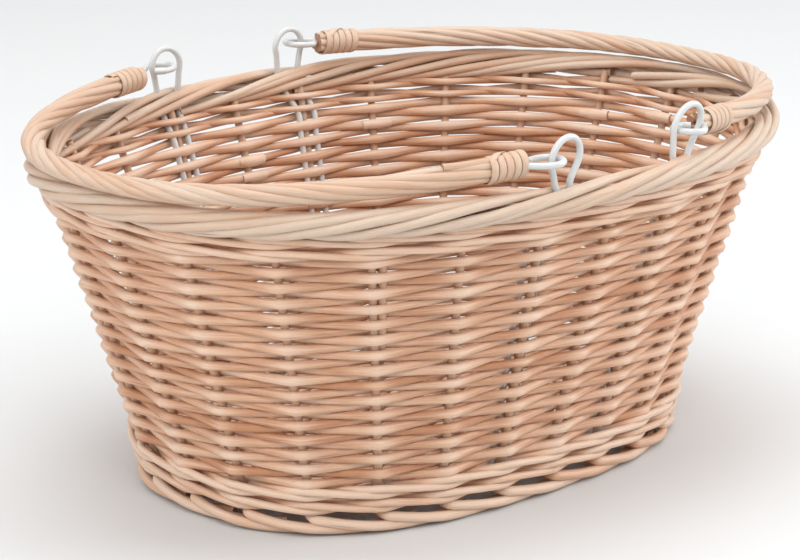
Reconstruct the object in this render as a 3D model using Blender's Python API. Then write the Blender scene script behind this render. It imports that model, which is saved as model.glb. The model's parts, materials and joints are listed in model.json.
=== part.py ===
"""Oval willow basket with two swing handles, in metres, +Z up, standing on Z = 0.

The long axis is X and the origin is the middle of the foot. Willow stakes are pushed into the edge of
a stake-and-strand base and turned up; courses of rods pass before and behind them; a rolled border
closes the rim and a plain border makes the foot. White coated-wire hoops run down beside four stakes
and carry the wire eyes of the two roped handles, which lie folded on the rim.
"""

import math

import bmesh
import bpy
import numpy as np
from mathutils import Vector

GAP = 0.0003  # between touching pieces

# The wall's middle surface, a rounded oval that opens out from the foot to the rim.
FOOT_HALF_LENGTH, FOOT_HALF_WIDTH, FOOT_SQUARENESS = 0.1640, 0.1090, 2.6
RIM_HALF_LENGTH, RIM_HALF_WIDTH, RIM_SQUARENESS = 0.2300, 0.1660, 2.25
RIM_HEIGHT = 0.195
FLARE = 0.058  # how much more the wall opens near the rim than at the foot

STAKE_COUNT = 24
STAKE_RADIUS = 0.0025
WEAVER_THICKNESS = 0.0045
WEAVER_CLEARANCE = 0.0009  # between a stake and the course that bends round it
WEAVER_FLAT = 0.010  # half the straight stretch of a course as it passes a stake
COURSE_OFFSET = STAKE_RADIUS + WEAVER_CLEARANCE + WEAVER_THICKNESS / 2

BASE_BOTTOM, BASE_THICKNESS = 0.0115, 0.010
BASE_MIDDLE = BASE_BOTTOM + BASE_THICKNESS / 2
BASE_TOP = BASE_BOTTOM + BASE_THICKNESS
BASE_INSET = 0.008  # from the wall's middle surface to the edge of the base
STAKE_DEPTH = 0.022  # how far a stake is pushed into the base
MORTISE = 0.0058
LONG_STICK_SIZE, LONG_STICK_HALF_LENGTH, LONG_STICK_SPACING = 0.0038, 0.132, 0.014
SHORT_STICK_SIZE, SHORT_STICK_SPACING = 0.0064, 0.0375
STICK_PLAY = 0.0006

FOOT_BORDER_TOP = BASE_BOTTOM - GAP
FOOT_BORDER_WIDTH = 0.0125
WALL_BOTTOM = BASE_TOP + GAP
BOTTOM_WALE_TOP = 0.0358
TOP_WALE_BOTTOM = 0.1668
WALL_TOP = 0.1835
SIDE_BANDS = 5

BORDER_HALF_LENGTH, BORDER_HALF_WIDTH, BORDER_SQUARENESS = 0.2330, 0.1680, 2.25
BORDER_CENTRE, BORDER_RADIUS = 0.1930, 0.0090
BORDER_TOP = BORDER_CENTRE + BORDER_RADIUS

WIRE_RADIUS = 0.0019
HOOP_X = 0.048  # each hoop's distance from the middle of the long side
HOOP_RISE = 0.0231  # the wire's middle above the border, at the top of the arch
HOOP_ARCH_RADIUS = 0.0115
HOOP_LEG_OFFSET = 0.0060  # from the stake between the two legs
HOOP_LEG_BOTTOM = 0.0240

HINGE_HEIGHT = BORDER_TOP + 0.014
EYE_RADIUS = 0.009
HANDLE_LEAD = 0.024  # from the hinge line to the end of the rods
HANDLE_HALF_LENGTH = 0.2365
HANDLE_RADIUS = 0.0070
HANDLE_BORE = 0.00245
BINDING_THICKNESS = 0.0013
BINDING_LENGTH = 0.029
CROWN_HEIGHT = BORDER_TOP + HANDLE_RADIUS + 0.0006

WILLOW = ((0.74, 0.50, 0.33), 0.55)
WILLOW_PALE = ((0.80, 0.60, 0.43), 0.50)
SKEIN = ((0.82, 0.64, 0.47), 0.45)
COATED_WIRE = ((0.88, 0.90, 0.90), 0.30)


def clear_scene():
    for obj in list(bpy.data.objects):
        bpy.data.objects.remove(obj)


def material(name, finish):
    colour, roughness = finish
    made = bpy.data.materials.new(name)
    made.use_nodes = True
    shader = made.node_tree.nodes["Principled BSDF"]
    shader.inputs["Base Color"].default_value = (*colour, 1.0)
    shader.inputs["Roughness"].default_value = roughness
    shader.inputs["Metallic"].default_value = 0.0
    return made


# ---------------------------------------------------------------------------------------------------
# Ovals. A place on one is a share of the way round, from the middle of the front (-Y) towards +X.


class Oval:
    """A rounded oval, walked by length, with the outward direction at each place."""

    SAMPLES = 1440

    def __init__(self, half_length, half_width, squareness):
        turn = np.linspace(0, 2 * math.pi, self.SAMPLES + 1) - math.pi / 2
        cos, sin = np.cos(turn), np.sin(turn)
        power = 2 / squareness
        self.x = half_length * np.sign(cos) * np.abs(cos) ** power
        self.y = half_width * np.sign(sin) * np.abs(sin) ** power
        steps = np.hypot(np.diff(self.x), np.diff(self.y))
        self.walked = np.concatenate([[0], np.cumsum(steps)])
        self.length = self.walked[-1]

    def at(self, share):
        walked = (share % 1.0) * self.length
        return Vector((np.interp(walked, self.walked, self.x), np.interp(walked, self.walked, self.y), 0))

    def outward(self, share):
        ahead = self.at(share + 0.002) - self.at(share - 0.002)
        return Vector((ahead.y, -ahead.x, 0)).normalized()

    def point(self, share, height, out=0.0, along=0.0):
        """A point that stands out from the oval, moved along it, at a height."""
        share += along / self.length
        return self.at(share) + self.outward(share) * out + Vector((0, 0, height))


def wall(height):
    """The oval of the wall's middle surface at a height."""
    rise = height / RIM_HEIGHT
    opened = rise + FLARE * rise * (rise - 1)
    return Oval(
        FOOT_HALF_LENGTH + (RIM_HALF_LENGTH - FOOT_HALF_LENGTH) * opened,
        FOOT_HALF_WIDTH + (RIM_HALF_WIDTH - FOOT_HALF_WIDTH) * opened,
        FOOT_SQUARENESS + (RIM_SQUARENESS - FOOT_SQUARENESS) * rise,
    )


def stake_share(number):
    return number / STAKE_COUNT


# ---------------------------------------------------------------------------------------------------
# Solids.


def solid(name, points, faces, finish):
    mesh = bpy.data.meshes.new(name)
    mesh.from_pydata([tuple(p) for p in points], [], faces)
    shape = bmesh.new()
    shape.from_mesh(mesh)
    bmesh.ops.recalc_face_normals(shape, faces=shape.faces)
    shape.to_mesh(mesh)
    shape.free()
    mesh.materials.append(finish)
    obj = bpy.data.objects.new(name, mesh)
    bpy.context.scene.collection.objects.link(obj)
    return obj


def swept(name, sections, finish, closed=False, hollow=None):
    """A skin through like sections. hollow gives the bore's sections, which make a tube of it."""
    sides, count = len(sections[0]), len(sections)
    points = [p for section in sections for p in section]
    faces = strips(0, sides, count, closed)
    if hollow:
        bore_sides, start = len(hollow[0]), len(points)
        points += [p for section in hollow for p in section]
        faces += strips(start, bore_sides, count, closed)
        for row in (0, count - 1):
            for k in range(sides):
                ring, bore = row * sides, start + row * bore_sides
                after = (k + 1) % sides
                faces.append((ring + k, ring + after, bore + after, bore + k))
    elif not closed:
        faces.append(tuple(range(sides)))
        faces.append(tuple(range((count - 1) * sides, count * sides)))
    return solid(name, points, faces, finish)


def strips(start, sides, count, closed):
    faces = []
    for row in range(count if closed else count - 1):
        here, there = start + row * sides, start + (row + 1) % count * sides
        for k in range(sides):
            after = (k + 1) % sides
            faces.append((here + k, here + after, there + after, there + k))
    return faces


def wire(name, points, radius, finish, rounding=1):
    curve = bpy.data.curves.new(name, "CURVE")
    curve.dimensions = "3D"
    spline = curve.splines.new("POLY")
    spline.points.add(len(points) - 1)
    for knot, place in zip(spline.points, points):
        knot.co = (*place, 1.0)
    curve.bevel_depth = radius
    curve.bevel_resolution = rounding
    curve.use_fill_caps = True
    curve.materials.append(finish)
    obj = bpy.data.objects.new(name, curve)
    bpy.context.scene.collection.objects.link(obj)
    return obj


def block(name, centre, size, turn=0.0):
    """A helper box for cutting, turned about Z."""
    shape = bmesh.new()
    bmesh.ops.create_cube(shape, size=1.0)
    mesh = bpy.data.meshes.new(name)
    for corner in shape.verts:
        corner.co = [c * s for c, s in zip(corner.co, size)]
    shape.to_mesh(mesh)
    shape.free()
    return helper(name, mesh, centre, (0, 0, turn))


def helper(name, mesh, centre, rotation):
    obj = bpy.data.objects.new(name, mesh)
    obj.location = centre
    obj.rotation_euler = rotation
    obj.hide_render = True
    obj.display_type = "WIRE"
    bpy.context.scene.collection.objects.link(obj)
    return obj


def drill(name, start, end, radius, sides=8):
    """A helper cylinder for cutting, from one point to another."""
    shape = bmesh.new()
    length = (end - start).length
    bmesh.ops.create_cone(
        shape, cap_ends=True, segments=sides, radius1=radius, radius2=radius, depth=length
    )
    mesh = bpy.data.meshes.new(name)
    shape.to_mesh(mesh)
    shape.free()
    turned = (end - start).to_track_quat("Z", "Y").to_euler()
    return helper(name, mesh, (start + end) / 2, turned)


def cut(obj, cutters):
    for number, cutter in enumerate(cutters):
        modifier = obj.modifiers.new(f"cut {number}", "BOOLEAN")
        modifier.operation = "DIFFERENCE"
        modifier.solver = "EXACT"
        modifier.object = cutter


# ---------------------------------------------------------------------------------------------------
# The base: long sticks threaded through split short ones, let into a woven mat.


def base_oval():
    edge = wall(BASE_MIDDLE)
    return [edge.point(k / 48, 0, out=-BASE_INSET) for k in range(48)]


def short_stick_half_length(x):
    """To 24 mm inside the edge of the mat, so that the stakes have room."""
    edge = max(p.y for p in base_oval() if abs(p.x - x) < 0.012)
    return edge - 0.026


def make_base(finish):
    outline = base_oval()
    sections = [[p + Vector((0, 0, z)) for p in outline] for z in (BASE_BOTTOM, BASE_TOP)]
    mat = swept("base_mat", sections, finish)
    cutters = []
    for number in range(STAKE_COUNT):
        edge, share = wall(BASE_MIDDLE), stake_share(number)
        outward = edge.outward(share)
        centre = edge.point(share, BASE_MIDDLE, out=-(BASE_INSET + STAKE_DEPTH) / 2 - 0.001)
        size = (BASE_INSET + STAKE_DEPTH + 0.002, MORTISE, MORTISE)
        turn = math.atan2(outward.y, outward.x)
        cutters.append(block(f"stake mortise {number}", centre, size, turn))
    for row in (-1, 0, 1):
        y = row * LONG_STICK_SPACING
        cutters.append(groove(f"long groove {row}", 0, y, LONG_STICK_HALF_LENGTH, 0, LONG_STICK_SIZE))
        long_stick(f"base_long_stick_{row + 2}", y, finish)
    for row in (-2, -1, 0, 1, 2):
        x = row * SHORT_STICK_SPACING
        half = short_stick_half_length(x)
        cutters.append(groove(f"short groove {row}", x, 0, 0, half, SHORT_STICK_SIZE))
        short_stick(f"base_short_stick_{row + 3}", x, half, finish)
    cut(mat, cutters)


def groove(name, x, y, half_x, half_y, stick_size):
    """A cutter for the groove that a stick lies in, open at the top of the mat."""
    bottom, top = BASE_MIDDLE - stick_size / 2 - STICK_PLAY, BASE_TOP + STICK_PLAY
    size = [2 * (max(half, stick_size / 2) + STICK_PLAY) for half in (half_x, half_y)]
    return block(name, (x, y, (bottom + top) / 2), (*size, top - bottom))


def long_stick(name, y, finish):
    ends = [Vector((side * LONG_STICK_HALF_LENGTH, y, BASE_MIDDLE)) for side in (-1, 1)]
    wire(name, ends, LONG_STICK_SIZE / 2, finish)


def short_stick(name, x, half, finish):
    """A thicker stick, split in the middle to let the three long ones through."""
    radius = SHORT_STICK_SIZE / 2
    sections = []
    for y in (-half, half):
        turns = [2 * math.pi * (k + 0.5) / 8 for k in range(8)]
        sections.append(
            [Vector((x + radius * math.cos(a), y, BASE_MIDDLE + radius * math.sin(a))) for a in turns]
        )
    stick = swept(name, sections, finish)
    split_half = LONG_STICK_SPACING + LONG_STICK_SIZE / 2 + STICK_PLAY
    size = (2 * SHORT_STICK_SIZE, 2 * split_half, LONG_STICK_SIZE + STICK_PLAY)
    cut(stick, [block(f"split {x:.3f}", (x, 0, BASE_MIDDLE), size)])


# ---------------------------------------------------------------------------------------------------
# The wall: stakes, and the courses that pass before and behind them.


def make_stakes(finish):
    kink = 0.005  # radius of the turn from the base up into the wall
    for number in range(STAKE_COUNT):
        share = stake_share(number)
        foot = wall(BASE_MIDDLE)
        points = [
            foot.point(share, BASE_MIDDLE, out=-BASE_INSET - STAKE_DEPTH + 0.001),
            foot.point(share, BASE_MIDDLE, out=-kink),
            foot.point(share, BASE_MIDDLE + 0.3 * kink, out=-0.3 * kink),
        ]
        for height in np.linspace(BASE_MIDDLE + kink, WALL_TOP - GAP, 6):
            points.append(wall(height).point(share, height))
        wire(f"stake_{number + 1:02d}", points, STAKE_RADIUS, finish)


def course(name, bottom, top, first_side, finish):
    """A band of courses that passes outside every second stake and inside the others."""
    sections = []
    for number in range(STAKE_COUNT):
        side = first_side if number % 2 else -first_side
        for along in (-WEAVER_FLAT, WEAVER_FLAT):
            sections.append(course_section(stake_share(number), along, bottom, top, side))
    swept(name, sections, finish, closed=True)


def course_section(share, along, bottom, top, side):
    middle = side * COURSE_OFFSET
    half = WEAVER_THICKNESS / 2
    low, high = wall(bottom), wall(top)
    return [
        low.point(share, bottom, middle - half, along),
        low.point(share, bottom, middle + half, along),
        high.point(share, top, middle + half, along),
        high.point(share, top, middle - half, along),
    ]


def make_courses(weave, wale):
    side = 1
    bands = []
    for number, (bottom, top) in enumerate(split(WALL_BOTTOM, BOTTOM_WALE_TOP, 2)):
        bands.append((f"bottom_wale_{number + 1}", bottom, top, wale))
    for number, (bottom, top) in enumerate(split(BOTTOM_WALE_TOP + GAP, TOP_WALE_BOTTOM - GAP, SIDE_BANDS)):
        bands.append((f"side_weave_{number + 1}", bottom, top, weave))
    for number, (bottom, top) in enumerate(split(TOP_WALE_BOTTOM, WALL_TOP, 2)):
        bands.append((f"top_wale_{number + 1}", bottom, top, wale))
    for name, bottom, top, finish in bands:
        course(name, bottom, top, side, finish)
        side = -side


def split(bottom, top, count):
    """Equal bands from bottom to top, a gap apart."""
    each = (top - bottom - GAP * (count - 1)) / count
    return [(bottom + k * (each + GAP), bottom + k * (each + GAP) + each) for k in range(count)]


def make_foot_border(finish):
    """A plain border with a flat underside, on which the basket stands."""
    centre = Oval(FOOT_HALF_LENGTH - 0.0005, FOOT_HALF_WIDTH - 0.0005, FOOT_SQUARENESS)
    half, chamfer = FOOT_BORDER_WIDTH / 2, 0.0028
    profile = [
        (-half + chamfer, 0),
        (half - chamfer, 0),
        (half, chamfer),
        (half, FOOT_BORDER_TOP - chamfer),
        (half - chamfer, FOOT_BORDER_TOP),
        (-half + chamfer, FOOT_BORDER_TOP),
        (-half, FOOT_BORDER_TOP - chamfer),
        (-half, chamfer),
    ]
    sections = [[centre.point(k / 40, z, out=out) for out, z in profile] for k in range(40)]
    swept("foot_border", sections, finish, closed=True)


def border_oval():
    return Oval(BORDER_HALF_LENGTH, BORDER_HALF_WIDTH, BORDER_SQUARENESS)


def make_rim_border(finish, hoops):
    """The rolled border, with a way through it for each leg of each hoop."""
    centre = border_oval()
    profile = [
        (BORDER_RADIUS * math.cos(a), BORDER_CENTRE + BORDER_RADIUS * math.sin(a))
        for a in (math.pi * k / 4 for k in range(8))
    ]
    sections = [[centre.point(k / 48, z, out=out) for out, z in profile] for k in range(48)]
    border = swept("rim_border", sections, finish, closed=True)
    drills = []
    for name, legs in hoops.items():
        for number, (bottom, top) in enumerate(legs):
            past = (top - bottom) * 0.3
            drills.append(drill(f"{name} way {number}", bottom - past, top + past, WIRE_RADIUS + 0.0006))
    cut(border, drills)


# ---------------------------------------------------------------------------------------------------
# The wire hoops, each a long hairpin whose legs run down the wall on both sides of a stake.


def hoop_side(x_side, y_side):
    """The stake that a hoop straddles, as a number from the middle of the front."""
    return {(-1, -1): STAKE_COUNT - 1, (1, -1): 1, (1, 1): STAKE_COUNT // 2 - 1, (-1, 1): STAKE_COUNT // 2 + 1}[
        (x_side, y_side)
    ]


def hinge_y():
    """How far from the middle the hoops stand, on the border's centre line."""
    share = (HOOP_X / BORDER_HALF_LENGTH) ** BORDER_SQUARENESS
    return BORDER_HALF_WIDTH * (1 - share) ** (1 / BORDER_SQUARENESS)


def hoop_leg(number, side, y_side):
    """One leg, from the border's top down into the weave."""
    along = side * HOOP_LEG_OFFSET
    x_side = 1 if number in (1, STAKE_COUNT // 2 - 1) else -1
    top = Vector((x_side * HOOP_X + side * HOOP_LEG_OFFSET * -y_side, y_side * hinge_y(), BORDER_TOP))
    below = [
        wall(height).point(stake_share(number), height, along=along)
        for height in np.linspace(WALL_TOP, HOOP_LEG_BOTTOM, 6)
    ]
    return top, below


def make_hoops(finish):
    """Makes the four hoops and gives the stretch of each leg inside the border."""
    stretches = {}
    for x_side in (-1, 1):
        for y_side in (-1, 1):
            number = hoop_side(x_side, y_side)
            name = f"hoop_{'left' if x_side < 0 else 'right'}_{'front' if y_side < 0 else 'back'}"
            legs = [hoop_leg(number, side, y_side) for side in (-1, 1)]
            centre = Vector((x_side * HOOP_X, y_side * hinge_y(), BORDER_TOP + HOOP_RISE - HOOP_ARCH_RADIUS))
            start = -1 if legs[0][0].x < centre.x else 1
            arch = []
            for k in range(9):
                turn = math.pi * k / 8
                across = start * HOOP_ARCH_RADIUS * math.cos(turn)
                arch.append(centre + Vector((across, 0, HOOP_ARCH_RADIUS * math.sin(turn))))
            first, second = legs
            points = [*reversed(first[1]), first[0], *arch, second[0], *second[1]]
            wire(name, points, WIRE_RADIUS, finish)
            stretches[name] = [(leg[1][0], leg[0]) for leg in legs]
    return stretches


# ---------------------------------------------------------------------------------------------------
# The handles: rods roped round a wire core, bound at both ends, with an eye of the wire beyond each.


def handle_tilt():
    """The handle lies with its crown on the border, a little below the hinge line."""
    return math.asin((HINGE_HEIGHT - CROWN_HEIGHT) / (HANDLE_HALF_LENGTH - HOOP_X))


def laid(x_side, reach, y, lift=0.0):
    """A point of a handle at rest: reach is from the hinge line along the handle's own plane."""
    tilt = handle_tilt()
    x = HOOP_X + reach * math.cos(tilt) - lift * math.sin(tilt)
    z = HINGE_HEIGHT - reach * math.sin(tilt) + lift * math.cos(tilt)
    return Vector((x_side * x, y, z))


def handle_line():
    """(reach, y) along the rods, from the front end round the crown to the back end."""
    oval = Oval(HANDLE_HALF_LENGTH, BORDER_HALF_WIDTH, BORDER_SQUARENESS)
    first = max(
        (k / 4000 for k in range(1000)), key=lambda share: -abs(oval.at(share).x - HOOP_X - HANDLE_LEAD)
    )
    second = first + BINDING_LENGTH / oval.length
    inner = [second + (0.5 - 2 * second) * k / 22 for k in range(23)]
    places = [oval.at(share) for share in (first, *inner, 0.5 - first)]
    return [(p.x - HOOP_X, p.y) for p in places]


def eye_line(y_side):
    """(reach, y) round an eye, from its open end to where the wire meets the rods."""
    y = hinge_y()
    points = [(0.0175, y - 0.0062), (0.0135, y - EYE_RADIUS)]
    for k in range(9):
        turn = math.pi * (1.5 - k / 8)
        points.append((EYE_RADIUS + EYE_RADIUS * math.cos(turn), y + EYE_RADIUS * math.sin(turn)))
    points += [(0.0130, y + 0.0080), (0.0180, y + 0.0028)]
    return [(reach, y_side * place) for reach, place in points]


def make_core_wire(name, x_side, finish):
    line = [*eye_line(-1), *handle_line(), *reversed(eye_line(1))]
    wire(name, [laid(x_side, reach, y) for reach, y in line], WIRE_RADIUS, finish)


def handle_sections(x_side, line, radius, sides=8):
    """Rings round a handle's line, square to it."""
    places = [Vector((reach, y)) for reach, y in line]
    sections = []
    for k, place in enumerate(places):
        ahead = (places[min(k + 1, len(places) - 1)] - places[max(k - 1, 0)]).normalized()
        across = Vector((ahead.y, -ahead.x))
        ring = []
        for corner in range(sides):
            turn = 2 * math.pi * corner / sides
            out = place + across * (radius * math.cos(turn))
            ring.append(laid(x_side, out.x, out.y, lift=radius * math.sin(turn)))
        sections.append(ring)
    return sections


def make_handle(word, x_side, rods, skein, coated):
    make_core_wire(f"{word}_handle_core_wire", x_side, coated)
    line = handle_line()
    outer = handle_sections(x_side, line, HANDLE_RADIUS)
    bore = handle_sections(x_side, line, HANDLE_BORE)
    swept(f"{word}_handle_rods", outer, rods, hollow=bore)
    inner_radius = HANDLE_RADIUS + GAP + 0.0003
    outer_radius = inner_radius + BINDING_THICKNESS
    for end, stretch in (("front", line[:2]), ("back", line[-2:])):
        (r0, y0), (r1, y1) = stretch
        part = [(r0 + (r1 - r0) * share, y0 + (y1 - y0) * share) for share in (0.06, 0.94)]
        sleeve = handle_sections(x_side, part, outer_radius)
        hole = handle_sections(x_side, part, inner_radius)
        swept(f"{word}_handle_{end}_binding", sleeve, skein, hollow=hole)


def main():
    clear_scene()
    willow = material("willow", WILLOW)
    pale = material("willow_pale", WILLOW_PALE)
    skein = material("skein", SKEIN)
    coated = material("coated_wire", COATED_WIRE)
    make_base(willow)
    make_stakes(willow)
    make_courses(willow, pale)
    make_foot_border(pale)
    stretches = make_hoops(coated)
    make_rim_border(pale, stretches)
    make_handle("left", -1, pale, skein, coated)
    make_handle("right", 1, pale, skein, coated)


main()
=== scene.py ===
"""The looks of an oval willow basket with two roped swing handles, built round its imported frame."""

import json
import math
import random

import bpy
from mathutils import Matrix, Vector


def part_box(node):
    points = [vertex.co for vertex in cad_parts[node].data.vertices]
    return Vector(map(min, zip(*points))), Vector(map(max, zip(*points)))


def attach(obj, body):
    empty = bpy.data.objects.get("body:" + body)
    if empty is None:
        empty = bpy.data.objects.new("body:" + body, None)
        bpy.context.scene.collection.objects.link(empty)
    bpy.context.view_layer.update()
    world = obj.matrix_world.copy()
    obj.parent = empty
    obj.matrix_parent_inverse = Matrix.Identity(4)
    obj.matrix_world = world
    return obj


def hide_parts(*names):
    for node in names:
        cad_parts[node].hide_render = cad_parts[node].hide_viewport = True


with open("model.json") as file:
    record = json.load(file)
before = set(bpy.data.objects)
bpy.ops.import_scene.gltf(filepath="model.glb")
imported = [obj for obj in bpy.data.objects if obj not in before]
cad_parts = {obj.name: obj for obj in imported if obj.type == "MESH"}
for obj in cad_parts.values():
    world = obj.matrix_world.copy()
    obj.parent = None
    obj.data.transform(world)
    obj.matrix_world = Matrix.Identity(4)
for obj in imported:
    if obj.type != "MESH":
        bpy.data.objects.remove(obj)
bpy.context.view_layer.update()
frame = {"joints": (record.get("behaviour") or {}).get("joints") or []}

# ---------------------------------------------------------------------------------------------------
# THE STAKES. Twenty-four upright rods of peeled willow, a few of them doubled. Each is pushed into the
# edge of the base, turned up, and carries the weave of the wall, which opens out from foot to rim.

foot_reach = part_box("foot_border")[1]
rim_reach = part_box("rim_border")[1]
RIM_TOP = rim_reach.z
STAKES = 24
STAKE_RADIUS = 0.0026
STAKE_FOOT, STAKE_HEAD = 0.0125, RIM_TOP - 0.011
DOUBLED_STAKES = (3, 16, 21)
SECOND_STAKE_FOOT = 0.105
SECOND_STAKE_GAP, SECOND_STAKE_LEAN = 0.0034, 0.0024
STAKE_STEPS = 12
STAKE_TUCK = 0.0045  # how far the foot of a stake stands in, behind the foot border
STAKE_BUTT, STAKE_TAPER = 1.08, 0.16
WALL_SIZES = {
    "Foot Half Length": foot_reach.x - 0.0058,
    "Foot Half Width": foot_reach.y - 0.0058,
    "Foot Squareness": 2.6,
    "Rim Half Length": rim_reach.x - 0.0120,
    "Rim Half Width": rim_reach.y - 0.0110,
    "Rim Squareness": 2.25,
    "Rim Height": RIM_TOP - 0.007,
    "Flare": 0.058,
}
WALL_ROUND = 1.07  # metres round the wall, half way up
WALL_LEAN = 0.04  # how far the outer side of the weave settles below the inner, for its thickness
STAKE_SPACING = 1 / STAKES
CREAM = (0.610, 0.480, 0.375)
SAND = (0.600, 0.430, 0.315)
BISCUIT = (0.560, 0.345, 0.225)
BUFF = (0.730, 0.535, 0.405)
TAN = (0.660, 0.410, 0.272)
RUSSET = (0.470, 0.220, 0.115)
BARK_BROWN = (0.170, 0.070, 0.032)


class Value:
    """An output of a node. Arithmetic on it adds Math nodes, or Vector Math nodes if it is a vector."""

    def __init__(self, tree, socket):
        self.tree = tree
        self.socket = socket

    def maths(self, operation, *values):
        kind = "ShaderNodeMath" if self.socket.type in ("VALUE", "INT") else "ShaderNodeVectorMath"
        return self.tree.add(kind, {"operation": operation}, dict(enumerate((self, *values))))

    def of_number(self, operation, number):
        return self.tree.add("ShaderNodeMath", {"operation": operation}, {0: number, 1: self})

    def __add__(self, other):
        return self.maths("ADD", other)

    def __sub__(self, other):
        return self.maths("SUBTRACT", other)

    def __mul__(self, other):
        return self.maths("MULTIPLY", other)

    def __truediv__(self, other):
        return self.maths("DIVIDE", other)

    def __pow__(self, other):
        return self.maths("POWER", other)

    def __radd__(self, number):
        return self.of_number("ADD", number)

    def __rsub__(self, number):
        return self.of_number("SUBTRACT", number)

    def __rmul__(self, number):
        return self.of_number("MULTIPLY", number)

    def __rtruediv__(self, number):
        return self.of_number("DIVIDE", number)

    def scaled(self, factor):
        """A vector times a number."""
        settings = {"operation": "SCALE"}
        return self.tree.add("ShaderNodeVectorMath", settings, {"Vector": self, "Scale": factor})

    def limited(self, low, high, to_low=0.0, to_high=1.0):
        """Runs from to_low at low to to_high at high, and no further."""
        values = {"Value": self, 1: low, 2: high, 3: to_low, 4: to_high}
        return self.tree.add("ShaderNodeMapRange", {}, values)

    def part(self, letter):
        split = self.tree.add("ShaderNodeSeparateXYZ", {}, {0: self})
        return self.tree.output(split, letter)


class Tree:
    """A node tree being written. Every node gets in through add."""

    def __init__(self, nodes_of):
        self.tree = nodes_of

    def add(self, kind, settings=(), values=(), output=0):
        made = self.tree.nodes.new(kind)
        for name, setting in dict(settings).items():
            if name == "stops":
                self.set_stops(made.color_ramp, setting)
            else:
                setattr(made, name, setting)
        for key, value in dict(values).items():
            if isinstance(value, Value):
                self.tree.links.new(value.socket, made.inputs[key])
            else:
                made.inputs[key].default_value = value
        return Value(self, made.outputs[output])

    def set_stops(self, ramp, stops):
        while len(ramp.elements) < len(stops):
            ramp.elements.new(1.0)
        for element, (position, colour) in zip(ramp.elements, stops):
            element.position = position
            element.color = (*colour, 1.0)

    def output(self, value, name):
        """Another output of the node that a value comes from."""
        return Value(self, value.socket.node.outputs[name])

    def vector(self, x, y, z):
        return self.add("ShaderNodeCombineXYZ", {}, {"X": x, "Y": y, "Z": z})

    def noise(self, place, scale, seed=0.0, detail=2.0, output=0):
        settings = {"noise_dimensions": "4D"}
        values = {"Vector": place, "W": seed, "Scale": scale, "Detail": detail}
        return self.add("ShaderNodeTexNoise", settings, values, output)

    def blend_colour(self, factor, first, second):
        return self.add("ShaderNodeMix", {"data_type": "RGBA"}, {0: factor, 6: first, 7: second}, 2)

    def blend_place(self, factor, first, second):
        return self.add("ShaderNodeMix", {"data_type": "VECTOR"}, {0: factor, 4: first, 5: second}, 1)

    def attribute(self, name, kind="FLOAT"):
        return self.add("GeometryNodeInputNamedAttribute", {"data_type": kind}, {"Name": name})

    def keep(self, geometry, name, value, kind="FLOAT", domain="POINT"):
        """Stores a value on the geometry under a name, for the material to read."""
        settings = {"data_type": kind, "domain": domain}
        values = {"Geometry": geometry, "Name": name, "Value": value}
        return self.add("GeometryNodeStoreNamedAttribute", settings, values)


def start_tree(name, inputs):
    """A Geometry Nodes tree with named inputs: (the tree, its inputs as values by name)."""
    group = bpy.data.node_groups.new(name, "GeometryNodeTree")
    group.is_modifier = True
    group.interface.new_socket("Geometry", in_out="INPUT", socket_type="NodeSocketGeometry")
    group.interface.new_socket("Geometry", in_out="OUTPUT", socket_type="NodeSocketGeometry")
    for label, kind in inputs.items():
        group.interface.new_socket(label, in_out="INPUT", socket_type=f"NodeSocket{kind}")
    tree = Tree(group)
    source = group.nodes.new("NodeGroupInput")
    return tree, {socket.name: Value(tree, socket) for socket in source.outputs if socket.name}


def end_tree(tree, geometry):
    tree.add("GeometryNodeRealizeInstances", {}, {"Geometry": geometry})
    realised = tree.tree.nodes[-1]
    end = tree.tree.nodes.new("NodeGroupOutput")
    tree.tree.links.new(realised.outputs[0], end.inputs[0])
    return tree.tree


ROD_INPUTS = {
    "Radius": "Float",
    "Thickness Wander": "Float",
    "Wander Length": "Float",
    "Step": "Float",
    "Sides": "Int",
    "Flatness": "Float",
    "Keep Facing": "Bool",
    "Seed": "Int",
    "Material": "Material",
}


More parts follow.
